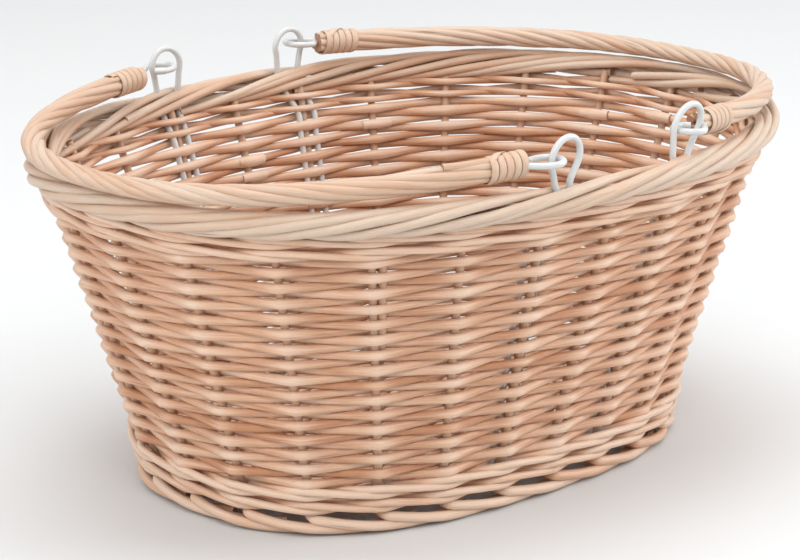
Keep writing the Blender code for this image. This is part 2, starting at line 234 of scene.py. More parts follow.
def rods_from_lines():
    """Lines become rods: smoothed, wandering a little in thickness, with cut ends."""
    tree, given = start_tree("rods from lines", ROD_INPUTS)
    rod = tree.attribute("rod", "INT")
    line = tree.add("GeometryNodeMeshToCurve", {}, {"Mesh": given["Geometry"]})
    line = tree.add("GeometryNodeCurveSplineType", {"spline_type": "CATMULL_ROM"}, {"Curve": line})
    line = tree.add(
        "GeometryNodeResampleCurve", {"mode": "LENGTH"}, {"Curve": line, "Length": given["Step"]}
    )
    along = tree.add("GeometryNodeSplineParameter", output="Length")
    line = tree.keep(line, "along", along)
    values = {2: 0.0, 3: 1.0, "ID": rod, "Seed": given["Seed"]}
    line = tree.keep(line, "tone", tree.add("FunctionNodeRandomValue", {}, values, 1))
    spot = tree.vector(along / given["Wander Length"], 0.0, 0.0)
    lumps = tree.noise(spot, 1.0, seed=rod * 7.31 + given["Seed"])
    swell = (lumps - 0.5) * given["Thickness Wander"] * 2.0 + 1.0
    radius = given["Radius"] * tree.attribute("girth") * swell
    settings = {"mode": "FREE"}
    facing = tree.attribute("facing", "FLOAT_VECTOR")
    values = {"Curve": line, "Selection": given["Keep Facing"], "Normal": facing}
    line = tree.add("GeometryNodeSetCurveNormal", settings, values)
    ring = tree.add("GeometryNodeCurvePrimitiveCircle", {}, {"Resolution": given["Sides"], "Radius": 1.0})
    place = tree.add("GeometryNodeInputPosition")
    ring = tree.keep(ring, "round", place, "FLOAT_VECTOR")
    flattened = place * tree.vector(1.0, given["Flatness"], 1.0)
    ring = tree.add("GeometryNodeSetPosition", {}, {"Geometry": ring, "Position": flattened})
    values = {"Curve": line, "Profile Curve": ring, "Scale": radius, "Fill Caps": True}
    skin = tree.add("GeometryNodeCurveToMesh", {}, values)
    corners = tree.add("GeometryNodeInputMeshFaceNeighbors", output="Vertex Count")
    is_end = tree.add("FunctionNodeCompare", {"data_type": "INT"}, {2: corners, 3: 4})
    skin = tree.keep(skin, "cut_end", is_end, "FLOAT", "FACE")
    is_side = tree.add("FunctionNodeBooleanMath", {"operation": "NOT"}, {0: is_end})
    skin = tree.add("GeometryNodeSetShadeSmooth", {}, {"Geometry": skin, "Shade Smooth": is_side})
    skin = tree.add("GeometryNodeSetMaterial", {}, {"Geometry": skin, "Material": given["Material"]})
    return end_tree(tree, skin)


rods_group = rods_from_lines()

OVAL_STEPS = 720
FRONT_SHARE = 0.75  # the middle of the front, as a share of an oval that starts at +X


def oval_curve(tree, half_length, half_width, squareness):
    """A rounded oval as a curve that starts at +X."""
    circle = tree.add("GeometryNodeCurvePrimitiveCircle", {}, {"Resolution": OVAL_STEPS, "Radius": 1.0})
    place = tree.add("GeometryNodeInputPosition")
    x, y = place.part("X"), place.part("Y")
    power = 2.0 / squareness
    across = x.maths("SIGN") * x.maths("ABSOLUTE") ** power * half_length
    up = y.maths("SIGN") * y.maths("ABSOLUTE") ** power * half_width
    values = {"Geometry": circle, "Position": tree.vector(across, up, 0.0)}
    return tree.add("GeometryNodeSetPosition", {}, values)


def place_on(tree, curve, share):
    """(the point, the direction) at a share of a curve's length from the middle of the front."""
    turned = (share + FRONT_SHARE).maths("FRACT")
    values = {0: curve, "Factor": turned}
    point = tree.add("GeometryNodeSampleCurve", {"mode": "FACTOR"}, values, "Position")
    return point, tree.output(point, "Tangent")


def hand_rods(tree, given, lines):
    """Passes lines to the rods group with the tree's own inputs."""
    values = {label: given[label] for label in ROD_INPUTS}
    values["Geometry"] = lines
    return end_tree(tree, tree.add("GeometryNodeGroup", {"node_tree": rods_group}, values))


OVAL_SIZES = ("Half Length", "Half Width", "Squareness")
SWAY_SCALE, SETTLING_SCALE = 21.0, 9.0
# The finish turns how far a rod stands out into a painted highlight on its crowns and painted shade where
# it crosses in between.
OUT_TO_SHADE_READING = 100.0  # the finish reads how far a rod stands out in centimetres


def wall_weave():
    """Lays a flat pattern on the wall: x is a share of the way round, y stands out, z is the height."""
    labels = {label: "Float" for label in WALL_SIZES}
    more = {"Lean": "Float", "Sway": "Float", "Settling": "Float"}
    tree, given = start_tree("wall weave", {**labels, **more, **ROD_INPUTS})
    flat = tree.add("GeometryNodeInputPosition")
    share, out, height = (flat.part(letter) for letter in "XYZ")
    foot = oval_curve(tree, *(given[f"Foot {size}"] for size in OVAL_SIZES))
    rim = oval_curve(tree, *(given[f"Rim {size}"] for size in OVAL_SIZES))
    rise = height / given["Rim Height"]
    opened = rise + given["Flare"] * rise * (rise - 1.0)
    foot_place, foot_way = place_on(tree, foot, share)
    rim_place, rim_way = place_on(tree, rim, share)
    settings = {"data_type": "VECTOR", "clamp_factor": False}
    place = tree.add("ShaderNodeMix", settings, {0: opened, 4: foot_place, 5: rim_place}, 1)
    way = tree.blend_place(opened, foot_way, rim_way)
    outward = way.maths("CROSS_PRODUCT", (0.0, 0.0, 1.0)).maths("NORMALIZE")
    rod = tree.attribute("rod", "INT")
    spot = place.maths("ADD", tree.vector(0.0, 0.0, height))
    drift = tree.noise(spot, SWAY_SCALE, rod * 3.7 + given["Seed"], output=1) - (0.5, 0.5, 0.5)
    sway = drift.scaled(given["Sway"] * 2.0)
    sag = (tree.noise(spot, SETTLING_SCALE, given["Seed"]) - 0.5) * given["Settling"] * 2.0
    place = place + outward.scaled(out + sway.part("X"))
    height = height - out * given["Lean"]
    place = place + tree.vector(0.0, 0.0, height + sway.part("Z") + sag)
    # How far each rod stands out, kept for the finish's painted highlight and shade.
    lines = tree.keep(given["Geometry"], "stands_out", out.maths("ABSOLUTE") * OUT_TO_SHADE_READING)
    laid = tree.add("GeometryNodeSetPosition", {}, {"Geometry": lines, "Position": place})
    return hand_rods(tree, given, laid)


def lines_object(name, rods):
    """Open or closed lines as one mesh. A rod is (points, closed), a point (x, y, z, girth)."""
    points, edges, owners = [], [], []
    for number, (places, closed) in enumerate(rods):
        first = len(points)
        points += places
        owners += [number] * len(places)
        edges += [(k, k + 1) for k in range(first, len(points) - 1)]
        if closed:
            edges.append((len(points) - 1, first))
    mesh = bpy.data.meshes.new(name)
    mesh.from_pydata([point[:3] for point in points], edges, [])
    mesh.attributes.new("girth", "FLOAT", "POINT").data.foreach_set("value", [p[3] for p in points])
    mesh.attributes.new("rod", "INT", "POINT").data.foreach_set("value", owners)
    obj = bpy.data.objects.new(name, mesh)
    bpy.context.scene.collection.objects.link(obj)
    return obj


def woven(name, tree, rods, sizes):
    """The plain mesh object that a tree makes of flat lines."""
    lines = lines_object(name + " lines", rods)
    modifier = lines.modifiers.new(tree.name, "NODES")
    modifier.node_group = tree
    for item in tree.interface.items_tree:
        if item.in_out == "INPUT" and item.name in sizes:
            modifier[item.identifier] = sizes[item.name]
    graph = bpy.context.evaluated_depsgraph_get()
    mesh = bpy.data.meshes.new_from_object(lines.evaluated_get(graph), depsgraph=graph)
    lines.modifiers.remove(modifier)
    bpy.data.objects.remove(lines)
    obj = bpy.data.objects.new(name, mesh)
    bpy.context.scene.collection.objects.link(obj)
    return obj


def show(obj, body, slot, *nodes):
    """Hangs a finished piece on its body in place of its CAD nodes."""
    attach(obj, body)
    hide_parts(*nodes)


def start_material(name):
    made = bpy.data.materials.new(name)
    made.use_nodes = True
    shader = made.node_tree.nodes["Principled BSDF"]
    return made, Tree(made.node_tree), shader


def drive(tree, shader, socket, value):
    tree.tree.links.new(value.socket, shader.inputs[socket])


def willow_finish(name, pale, middle, deep):
    """Peeled willow: every rod has its own tone, with a painted highlight where it stands out of the
    weave and painted shade where it crosses in between, with long grain, patches, leaf scars and small
    freckles, and a darker pithy face where it is cut."""
    made, tree, shader = start_material(name)
    tone = tree.add("ShaderNodeAttribute", {"attribute_name": "tone"}, output="Fac")
    along = tree.add("ShaderNodeAttribute", {"attribute_name": "along"}, output="Fac")
    around = tree.add("ShaderNodeAttribute", {"attribute_name": "round"}, output="Vector")
    cut = tree.add("ShaderNodeAttribute", {"attribute_name": "cut_end"}, output="Fac")
    stands_out = tree.add("ShaderNodeAttribute", {"attribute_name": "stands_out"}, output="Fac")
    lane = tone * 91.0
    side = around.part("X")
    over = around.part("Y")

    patches = tree.noise(tree.vector(along * 22.0, side * 0.35, over * 0.35), 1.0, lane)
    grain = tree.noise(tree.vector(along * 26.0, side * 2.6, over * 2.6), 1.6, lane + 5.0, 5.0)
    fibres = tree.noise(tree.vector(along * 40.0, side * 9.0, over * 9.0), 2.0, lane + 9.0, 3.0)
    scar_place = tree.vector(along * 17.0, side * 0.9, over * 0.9)
    settings = {"voronoi_dimensions": "4D"}
    scars = tree.add("ShaderNodeTexVoronoi", settings, {"Vector": scar_place, "W": lane, "Scale": 1.0})
    freckle_place = tree.vector(along * 210.0, side * 1.5, over * 1.5)
    values = {"Vector": freckle_place, "W": lane + 2.0, "Scale": 1.0}
    specks = tree.add("ShaderNodeTexVoronoi", settings, values)
    chosen = tree.noise(tree.vector(along * 30.0, side, over), 1.0, lane + 3.0)

    # Painted light: a rod is painted paler where it stands out over a stake, as a highlight, and darker
    # and warmer where it crosses in between, as crevice shade.
    crown_light_and_crevice_shade = stands_out.limited(0.03, 0.46, 0.40, -0.22)
    warmth = (tone * 0.60 + patches * 0.95 + grain * 1.15 + crown_light_and_crevice_shade - 0.87).limited(0.0, 1.0)
    colour = tree.add(
        "ShaderNodeValToRGB", {"stops": [(0.12, pale), (0.52, middle), (0.97, deep)]}, {0: warmth}
    )
    streak = fibres.limited(0.52, 0.72) * 0.50
    colour = tree.blend_colour(streak, colour, (*RUSSET, 1.0))
    scar = scars.limited(0.05, 0.19, 1.0, 0.0)
    freckle = specks.limited(0.05, 0.20, 1.0, 0.0) * chosen.limited(0.56, 0.66) * 0.5
    colour = tree.blend_colour(scar * 0.60, colour, (*BARK_BROWN, 1.0))
    colour = tree.blend_colour(freckle, colour, (*RUSSET, 1.0))
    end_grain = tree.blend_colour(fibres, (*RUSSET, 1.0), (*BARK_BROWN, 1.0))
    colour = tree.blend_colour(cut * 0.8, colour, end_grain)
    drive(tree, shader, "Base Color", colour)
    drive(tree, shader, "Roughness", grain * 0.22 + scar * 0.2 + 0.36)
    relief = grain * 0.5 + fibres * 0.45 - scar * 0.8
    values = {"Height": relief, "Strength": 0.55, "Distance": 0.0006}
    drive(tree, shader, "Normal", tree.add("ShaderNodeBump", {}, values))
    shader.inputs["Coat Weight"].default_value = 0.12
    shader.inputs["Coat Roughness"].default_value = 0.30
    shader.inputs["Specular IOR Level"].default_value = 0.42
    return made


willow = willow_finish("buff willow", BUFF, TAN, RUSSET)
pale_willow = willow_finish("pale willow", CREAM, SAND, BISCUIT)
wall_tree = wall_weave()


def wall_sizes(
    radius, seed, sway=0.0004, settling=0.0007, wander=0.10, step=0.005, sides=8, finish=willow, lean=0.0
):
    """The sizes of a piece laid on the wall. lean drops what stands out, square to the wall's slope."""
    return {
        **WALL_SIZES,
        "Lean": lean,
        "Sway": sway,
        "Settling": settling,
        "Radius": radius,
        "Thickness Wander": wander,
        "Wander Length": 0.05,
        "Step": step,
        "Sides": sides,
        "Flatness": 1.0,
        "Keep Facing": False,
        "Seed": seed,
        "Material": finish,
    }


def stake_line(share, foot=STAKE_FOOT, lean=0.0):
    """From behind the foot border up to the rim. lean is how far the head is to one side."""
    places = []
    for k in range(STAKE_STEPS + 1):
        up = k / STAKE_STEPS
        height = foot + (STAKE_HEAD - foot) * up
        tucked_in = -STAKE_TUCK * max(0.0, 1 - k / 2)
        girth = STAKE_BUTT - STAKE_TAPER * up
        places.append((share + lean * up / WALL_ROUND, tucked_in, height, girth))
    return places, False


stake_rods = [stake_line(number * STAKE_SPACING) for number in range(STAKES)]
for number in DOUBLED_STAKES:
    beside = number * STAKE_SPACING + SECOND_STAKE_GAP / WALL_ROUND
    stake_rods.append(stake_line(beside, foot=SECOND_STAKE_FOOT, lean=SECOND_STAKE_LEAN))
# The stakes stand at no distance out, so the finish paints them with its full crevice shade.
stake_sizes = wall_sizes(STAKE_RADIUS, 3, step=0.012, settling=0.0, finish=pale_willow)
stakes = woven("stakes", wall_tree, stake_rods, stake_sizes)
show(stakes, "basket", "willow", *(f"stake_{number + 1:02d}" for number in range(STAKES)))

# ---------------------------------------------------------------------------------------------------
# THE BASE. Five short sticks are split and three long ones threaded through them side by side. More are
# fanned out round the ends, and thin rods go round and round, over one stick and under the next.

base_low, base_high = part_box("base_mat")
BASE_STICK_RADIUS = 0.0030
BASE_WEAVER_RADIUS = 0.0022
BASE_BOB = BASE_STICK_RADIUS + BASE_WEAVER_RADIUS * 0.6
BASE_ROUNDS = 25
BASE_FIRST_ROUND, BASE_LAST_ROUND = 0.125, 0.985
BASE_STEPS = 6  # of a round, from one stick to the next
BASE_STICK_STEPS = 8
BASE_STICK_GIRTH, BASE_STICK_TAPER = 1.05, 0.15
ACROSS_START, LONG_END_START, FANNED_START, BASE_STICK_END = 0.04, 0.16, 0.13, 0.98
LONG_STICK_REACH = 0.064
ACROSS = ((0, 12), (1, 11), (2, 10), (-1, 13), (-2, 14))
FANNED = (3, 4, 8, 9, 15, 16, 20, 21)
BASE_SIZES = {
    "Base Half Length": base_high.x + 0.002,
    "Base Half Width": base_high.y + 0.002,
    "Squareness": 2.55,
    "Spine Half Length": base_high.x - base_high.y * 0.86,
    "Floor Height": (base_low.z + base_high.z) / 2,
}


def base_weave():
    """Lays a flat pattern on the base. Its x is a share of the way round, y is up, z runs from 0 at the
    middle line to 1 at the edge."""
    labels = {label: "Float" for label in BASE_SIZES}
    tree, given = start_tree("base weave", {**labels, "Sway": "Float", **ROD_INPUTS})
    flat = tree.add("GeometryNodeInputPosition")
    share, up, reach = (flat.part(letter) for letter in "XYZ")
    edge = oval_curve(tree, given["Base Half Length"], given["Base Half Width"], given["Squareness"])
    edge_place = place_on(tree, edge, share)[0]
    spine = given["Spine Half Length"]
    spine_x = edge_place.part("X").maths("MINIMUM", spine).maths("MAXIMUM", 0.0 - spine)
    place = edge_place.scaled(reach) + tree.vector(spine_x, 0.0, 0.0).scaled(1.0 - reach)
    rod = tree.attribute("rod", "INT")
    seed = rod * 3.7 + given["Seed"]
    sway = (tree.noise(place, 30.0, seed, output=1) - (0.5, 0.5, 0.5)).scaled(given["Sway"] * 2.0)
    place = place + sway + tree.vector(0.0, 0.0, given["Floor Height"] + up)
    # How far each rod stands up or down, kept for the finish's painted highlight and shade.
    lines = tree.keep(given["Geometry"], "stands_out", up.maths("ABSOLUTE") * OUT_TO_SHADE_READING)
    laid = tree.add("GeometryNodeSetPosition", {}, {"Geometry": lines, "Position": place})
    return hand_rods(tree, given, laid)


base_tree = base_weave()
base_sizes = {
    **wall_sizes(BASE_WEAVER_RADIUS, 11, sway=0.0004, wander=0.12, step=0.005, sides=6),
    **BASE_SIZES,
}


def base_round(number):
    """One rod of the base, over one stick and under the next all the way round."""
    reach = BASE_FIRST_ROUND + (BASE_LAST_ROUND - BASE_FIRST_ROUND) * number / (BASE_ROUNDS - 1)
    places = []
    for k in range(STAKES * BASE_STEPS):
        bob = math.cos(math.pi * (k / BASE_STEPS + number)) * BASE_BOB
        places.append((k * STAKE_SPACING / BASE_STEPS, bob, reach, 1.0))
    return places, True


base_rods = woven("base_weave", base_tree, [base_round(k) for k in range(BASE_ROUNDS)], base_sizes)
show(base_rods, "basket", "willow", "base_mat")


def spoke(stake, begin):
    """From near the middle line straight out to the edge, as (share, up, reach, girth) places."""
    steps = BASE_STICK_STEPS
    places = []
    for k in range(steps + 1):
        reach = begin + (BASE_STICK_END - begin) * k / steps
        girth = BASE_STICK_GIRTH - BASE_STICK_TAPER * reach
        places.append((stake * STAKE_SPACING, 0.0, reach, girth))
    return places


def across_stick(front, back):
    """A stick from a place on the front edge to one on the back edge, straight over the middle line."""
    return [*reversed(spoke(front, ACROSS_START)), *spoke(back, ACROSS_START)], False


def long_stick(side):
    """A stick along the middle line. side is -1, 0 or 1: the outer two open out beyond the last cross."""
    if side == 0:
        middle = [(stake * STAKE_SPACING, 0.0, 0.0, 1.0) for stake in (2, 1, 0, -1, -2)]
        return [*reversed(spoke(6, ACROSS_START)), *middle, *spoke(-6, ACROSS_START)], False
    right, left = (5, -5) if side < 0 else (7, 17)
    front, back = (3.4, 2.0, 1.0, 0.0, -1.0, -2.0, -3.4), (8.6, 10.0, 11.0, 12.0, 13.0, 14.0, 15.4)
    along = front if side < 0 else back
    middle = [(stake * STAKE_SPACING, 0.0, LONG_STICK_REACH, 1.0) for stake in along]
    return [*reversed(spoke(right, LONG_END_START)), *middle, *spoke(left, LONG_END_START)], False


stick_sizes = {**base_sizes, "Radius": BASE_STICK_RADIUS, "Sway": 0.0002, "Step": 0.006, "Sides": 8}
across_lines = [across_stick(*ends) for ends in ACROSS]
across_sticks = woven("base_sticks_across", base_tree, across_lines, stick_sizes)
show(across_sticks, "basket", "willow", *(f"base_short_stick_{k}" for k in range(1, 6)))
long_lines = [long_stick(side) for side in (-1, 0, 1)]
long_lines += [(spoke(stake, FANNED_START), False) for stake in FANNED]
long_sticks = woven("base_sticks_along", base_tree, long_lines, stick_sizes)
show(long_sticks, "basket", "willow", *(f"base_long_stick_{k}" for k in range(1, 4)))

# ---------------------------------------------------------------------------------------------------
# THE BOTTOM WALING. Two rounds of three-rod wale lock the stakes upright: each rod passes before two
# stakes and behind one, and the three lie over each other like a flat rope.

WALE_ROD_RADIUS = 0.00235
WALE_OUT, WALE_IN = 0.0054, -0.0050
BOTTOM_WALE_HEIGHTS = (0.0172, 0.0262)
WALE_LIFT = 0.00215
WALE_STEPS = 5
WALE_EASE = 0.35  # the share of a rod's bend that is round, the rest being straight


def waling_strand(height, strand, lift):
    """One rod of a three-rod wale: before two stakes and behind the third, falling as it goes."""
    knots = ((WALE_IN, 0.0), (WALE_OUT + 0.0005, lift), (WALE_OUT, -lift))
    places = []
    for stake in range(STAKES):
        out, up = knots[(stake + strand) % 3]
        next_out, next_up = knots[(stake + strand + 1) % 3]
        for k in range(WALE_STEPS):
            went = k / WALE_STEPS
            eased = 0.5 - 0.5 * math.cos(math.pi * went)
            smooth = WALE_EASE * eased + (1 - WALE_EASE) * went
            here = out + (next_out - out) * smooth
            share = (stake + went) * STAKE_SPACING
            places.append((share, here, height + up + (next_up - up) * smooth, 1.0))
    return places, True


def waling(name, heights, nodes, seed, lift=WALE_LIFT, radius=WALE_ROD_RADIUS):
    rods = []
    for number, height in enumerate(heights):
        rods += [waling_strand(height, strand + number, lift) for strand in range(3)]
    sizes = wall_sizes(radius, seed, sway=0.0005, wander=0.14, lean=WALL_LEAN)
    obj = woven(name, wall_tree, rods, sizes)
    show(obj, "basket", "willow_pale", *nodes)


waling("bottom_waling", BOTTOM_WALE_HEIGHTS, ("bottom_wale_1", "bottom_wale_2"), 17)

# ---------------------------------------------------------------------------------------------------
# THE RANDING. Single rods run round the wall, before one stake and behind the next, each course the
# other way about from the one below. A rod lasts about half a round, thins towards its tip, and begins
# and ends inside, against a stake.

RANDING_LOW, RANDING_HIGH = 0.0322, 0.1698
COURSES = 30
COURSE_HEIGHT = (RANDING_HIGH - RANDING_LOW) / (COURSES - 1)
RANDING_ROD_RADIUS = 0.00315
RANDING_REACH = STAKE_RADIUS + RANDING_ROD_RADIUS - 0.0014  # the stakes give way a little
CHORD_SAG = 0.0010  # how far a rod falls in between two stakes, being straight
PINCH = 0.20  # how much thinner a rod is pressed where it crosses the next course
END_SPAN = 0.20  # how far a rod's end lies past its last stake, in stake spacings
END_TUCK = 0.0012
BUTT_GIRTH, TIP_TAPER = 1.10, 0.13
INNER_SWELL = 0.05
SPAN_STEPS = (0.0, 0.07, 0.25, 0.50, 0.75, 0.93)
COURSE_BANDS = 5


def randing_rod(course, first_stake, stakes_long, butt):
    """A rod that starts inside at one stake and ends inside at another, butt end first."""
    last_stake = first_stake + stakes_long
    spans = [(stake, step) for stake in range(first_stake, last_stake) for step in SPAN_STEPS]
    spans = [(first_stake - 1, 1 - END_SPAN), *spans, (last_stake, 0.0), (last_stake, END_SPAN)]
    height = RANDING_LOW + course * COURSE_HEIGHT
    places = []
    for k, (stake, between) in enumerate(spans):
        side = -1 if (stake + course) % 2 else 1
        out = side * RANDING_REACH * (1 - 2 * between) - CHORD_SAG * 4 * between * (1 - between)
        from_end = min(k, len(spans) - 1 - k)
        out -= END_TUCK * max(0.0, 1 - from_end / 3)
        pinched = 1 - PINCH * 4 * between * (1 - between)
        girth = butt * (BUTT_GIRTH - TIP_TAPER * k / len(spans)) * pinched
        girth *= 1 - INNER_SWELL * out / RANDING_REACH
        places.append(((stake + between) * STAKE_SPACING, out, height, girth))
    return places, False


def randing_course(course, draw):
    """The rods of one course, each long enough for 10 to 14 stakes, an even number."""
    first = draw.choice(range(1 - course % 2, STAKES, 2))
    lengths = draw.choice(((10, 14), (12, 12), (14, 10)))
    rods = []
    for stakes_long in lengths:
        rods.append(randing_rod(course, first, stakes_long, draw.uniform(0.90, 1.07)))
        first += stakes_long
    return rods


draw = random.Random(2024)
for band in range(COURSE_BANDS):
    first_course = round(band * COURSES / COURSE_BANDS)
    next_band = round((band + 1) * COURSES / COURSE_BANDS)
    band_rods = []
    for course in range(first_course, next_band):
        band_rods += randing_course(course, draw)
    name = f"randing_{band + 1}"
    randing_sizes = wall_sizes(
        RANDING_ROD_RADIUS, 23, sway=0.0005, settling=0.0013, wander=0.14, step=0.0025, lean=WALL_LEAN
    )
    randing = woven(name, wall_tree, band_rods, randing_sizes)
    show(randing, "basket", "willow", f"side_weave_{band + 1}")

# ---------------------------------------------------------------------------------------------------
# THE TOP WALING. Two rounds of a finer three-rod wale hold the last course down, close below the border.
# Their rods run right round, like those of the waling at the foot.

TOP_WALE_HEIGHTS = (RIM_TOP - 0.0264, RIM_TOP - 0.0190)
waling("top_waling", TOP_WALE_HEIGHTS, ("top_wale_1", "top_wale_2"), 29, lift=0.0018, radius=0.0021)

# ---------------------------------------------------------------------------------------------------
# THE RIM BORDER. Each stake's head is bent down to the right and rolled with its neighbours: it comes
# up outside, crosses the top at a shallow slant over four or five stakes, and is trimmed inside.

BORDER_CENTRE = RIM_TOP - 0.0098
BORDER_OUT = 0.0030
BORDER_ROLL = 0.0066  # from the roll's middle to the middle of a rod
BORDER_ROD_RADIUS = 0.00285
BORDER_RODS = 38
BORDER_START, BORDER_TURN = -75, 300
BORDER_SPAN = 4.7  # in stake spacings
BORDER_STEPS = 16
BORDER_TUCKED, BORDER_RISE = 0.45, 5.0  # how deep in the roll a rod starts, and how soon it is out
BORDER_BUTT, BORDER_TAPER = 1.06, 0.2


def border_rod(number, draw):
    """From outside below the roll, up over the top and down inside, where it is trimmed."""
    begin = (number + draw.uniform(-0.2, 0.2)) / BORDER_RODS
    span = BORDER_SPAN * draw.uniform(0.92, 1.08)
    turned = BORDER_TURN * draw.choice((0.88, 1.04, 1.08, 1.10, 1.12, 1.14))
    depth = BORDER_ROLL * draw.uniform(0.90, 1.05)
    places = []
    for k in range(BORDER_STEPS + 1):
        went = k / BORDER_STEPS
        turn = math.radians(BORDER_START + turned * went)
        roll = depth * min(1.0, BORDER_TUCKED + BORDER_RISE * went)
        out, up = BORDER_OUT + roll * math.cos(turn), roll * math.sin(turn)
        girth = BORDER_BUTT - BORDER_TAPER * went
        places.append((begin + span * STAKE_SPACING * went, out, BORDER_CENTRE + up, girth))
    return places, False


draw = random.Random(7)
border_sizes = wall_sizes(
    BORDER_ROD_RADIUS, 31, sway=0.0010, settling=0.0, wander=0.14, finish=pale_willow
)
border_lines = [border_rod(number, draw) for number in range(BORDER_RODS)]
rim_border = woven("rim_border_rods", wall_tree, border_lines, border_sizes)
show(rim_border, "basket", "willow_pale", "rim_border")

# ---------------------------------------------------------------------------------------------------
# THE FOOT BORDER. Under the base the stake ends are turned to the right in a plain border. Each rod
# comes out between two stakes with a round bend, lies over the last one and slips in under the next.

FOOT_ROD_RADIUS = 0.0030
FOOT_KNOTS = (
    (0.00, -0.0110, 0.0150),
    (0.00, -0.0050, 0.0118),
    (0.02, -0.0003, 0.0104),
    (0.07, 0.0034, 0.0097),
    (0.16, 0.0052, 0.0090),
    (0.50, 0.0066, 0.0068),
    (0.80, 0.0068, 0.0050),
    (1.05, 0.0062, 0.0039),
    (1.40, 0.0046, 0.0033),
    (1.80, 0.0026, 0.0031),
    (2.20, -0.0004, 0.0031),
    (2.60, -0.0040, 0.0034),
)


def foot_rod(number, draw):
    """Knots are (stake spacings on, out, height)."""
    shift = number + draw.uniform(-0.04, 0.04)
    lift = draw.uniform(0.0, 0.0004)
    girth = draw.uniform(0.95, 1.05)
    return [((shift + on) * STAKE_SPACING, out, up + lift, girth) for on, out, up in FOOT_KNOTS], False


draw = random.Random(12)
foot_sizes = wall_sizes(FOOT_ROD_RADIUS, 37, sway=0.0003, settling=0.0, wander=0.08, step=0.0022)
foot_lines = [foot_rod(number, draw) for number in range(STAKES)]
foot_border = woven("foot_border_rods", wall_tree, foot_lines, foot_sizes)
show(foot_border, "basket", "willow_pale", "foot_border")

# ---------------------------------------------------------------------------------------------------
# THE HOOPS. Four long hairpins of steel wire in white plastic coat. Each stands in the rim with its legs
# run down inside the weave, one on each side of a stake, and holds the eye of a handle.

WIRE_RADIUS = 0.0019
WIRE_WHITE = (0.585, 0.598, 0.595)
HOOP_LEG_SPREAD = 0.0052  # from the stake to each leg
HOOP_ARCH_RADIUS = 0.0108
HOOP_LEG_INWARD = 0.0028
HOOP_LEG_FOOT, HOOP_LEG_STEP, HOOP_LEG_STEPS = 0.024, 0.0125, 13
HOOP_NECK_DEPTH, HOOP_NECK_PINCH = 0.010, 0.85  # the legs close in a little inside the border
HOOP_ARCH_START, HOOP_ARCH_TURN, HOOP_ARCH_STEPS = 205, 230, 12


def coated_wire_finish():
    """White plastic coat, faintly uneven, with a little handling dirt and a soft gloss."""
    made, tree, shader = start_material("white coated wire")
    place = tree.add("ShaderNodeTexCoord", output="Object")
    dirt = tree.noise(place, 55.0, 2.0, 4.0)
    ripple = tree.noise(place, 420.0, 6.0, 2.0)
    grime = dirt.limited(0.52, 0.78) * 0.35
    colour = tree.blend_colour(grime, (*WIRE_WHITE, 1.0), (0.52, 0.49, 0.44, 1.0))
    drive(tree, shader, "Base Color", colour)
    drive(tree, shader, "Roughness", dirt * 0.30 + 0.18)
    values = {"Height": ripple, "Strength": 0.25, "Distance": 0.0003}
    drive(tree, shader, "Normal", tree.add("ShaderNodeBump", {}, values))
    shader.inputs["Coat Weight"].default_value = 0.3
    shader.inputs["Coat Roughness"].default_value = 0.18
    return made


coated_wire = coated_wire_finish()


def wire_bender():
    """Lines in their true place become wire."""
    tree, given = start_tree("wire bender", ROD_INPUTS)
    return hand_rods(tree, given, given["Geometry"])


wire_tree = wire_bender()
WIRE_SIZES = {
    "Radius": WIRE_RADIUS,
    "Thickness Wander": 0.02,
    "Wander Length": 0.02,
    "Step": 0.0015,
    "Sides": 12,
    "Flatness": 1.0,
    "Keep Facing": False,
    "Seed": 41,
    "Material": coated_wire,
}


def opened_at(height):
    """How far the wall has opened out at a height, as the wall tree has it."""
    rise = height / WALL_SIZES["Rim Height"]
    return rise + WALL_SIZES["Flare"] * rise * (rise - 1)


def oval_place(half_length, half_width, squareness, share):
    """The point at a share of an oval's length from the middle of its front."""
    places = []
    for k in range(OVAL_STEPS + 1):
        turn = 2 * math.pi * k / OVAL_STEPS - math.pi / 2
        cos, sin = math.cos(turn), math.sin(turn)
        x = half_length * math.copysign(abs(cos) ** (2 / squareness), cos)
        places.append(Vector((x, half_width * math.copysign(abs(sin) ** (2 / squareness), sin), 0)))
    walked = [0.0]
    for before, after in zip(places, places[1:]):
        walked.append(walked[-1] + (after - before).length)
    target = (share % 1) * walked[-1]
    after = next(k for k, length in enumerate(walked) if length >= target and k)
    part = (target - walked[after - 1]) / (walked[after] - walked[after - 1])
    return places[after - 1].lerp(places[after], part)


def wall_place(share, height):
    """A point in the middle of the wall, as the wall tree has it."""
    ends = []
    for end in ("Foot", "Rim"):
        sizes = [WALL_SIZES[f"{end} {size}"] for size in OVAL_SIZES]
        ends.append(oval_place(*sizes, share))
    return ends[0].lerp(ends[1], opened_at(height)) + Vector((0, 0, height))


HINGES = {joint["child"].split("_")[1]: Vector(joint["pos_m"]) for joint in frame["joints"]}
EYE_RADIUS = 0.0090
HINGE_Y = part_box("left_handle_core_wire")[1].y - EYE_RADIUS - WIRE_RADIUS


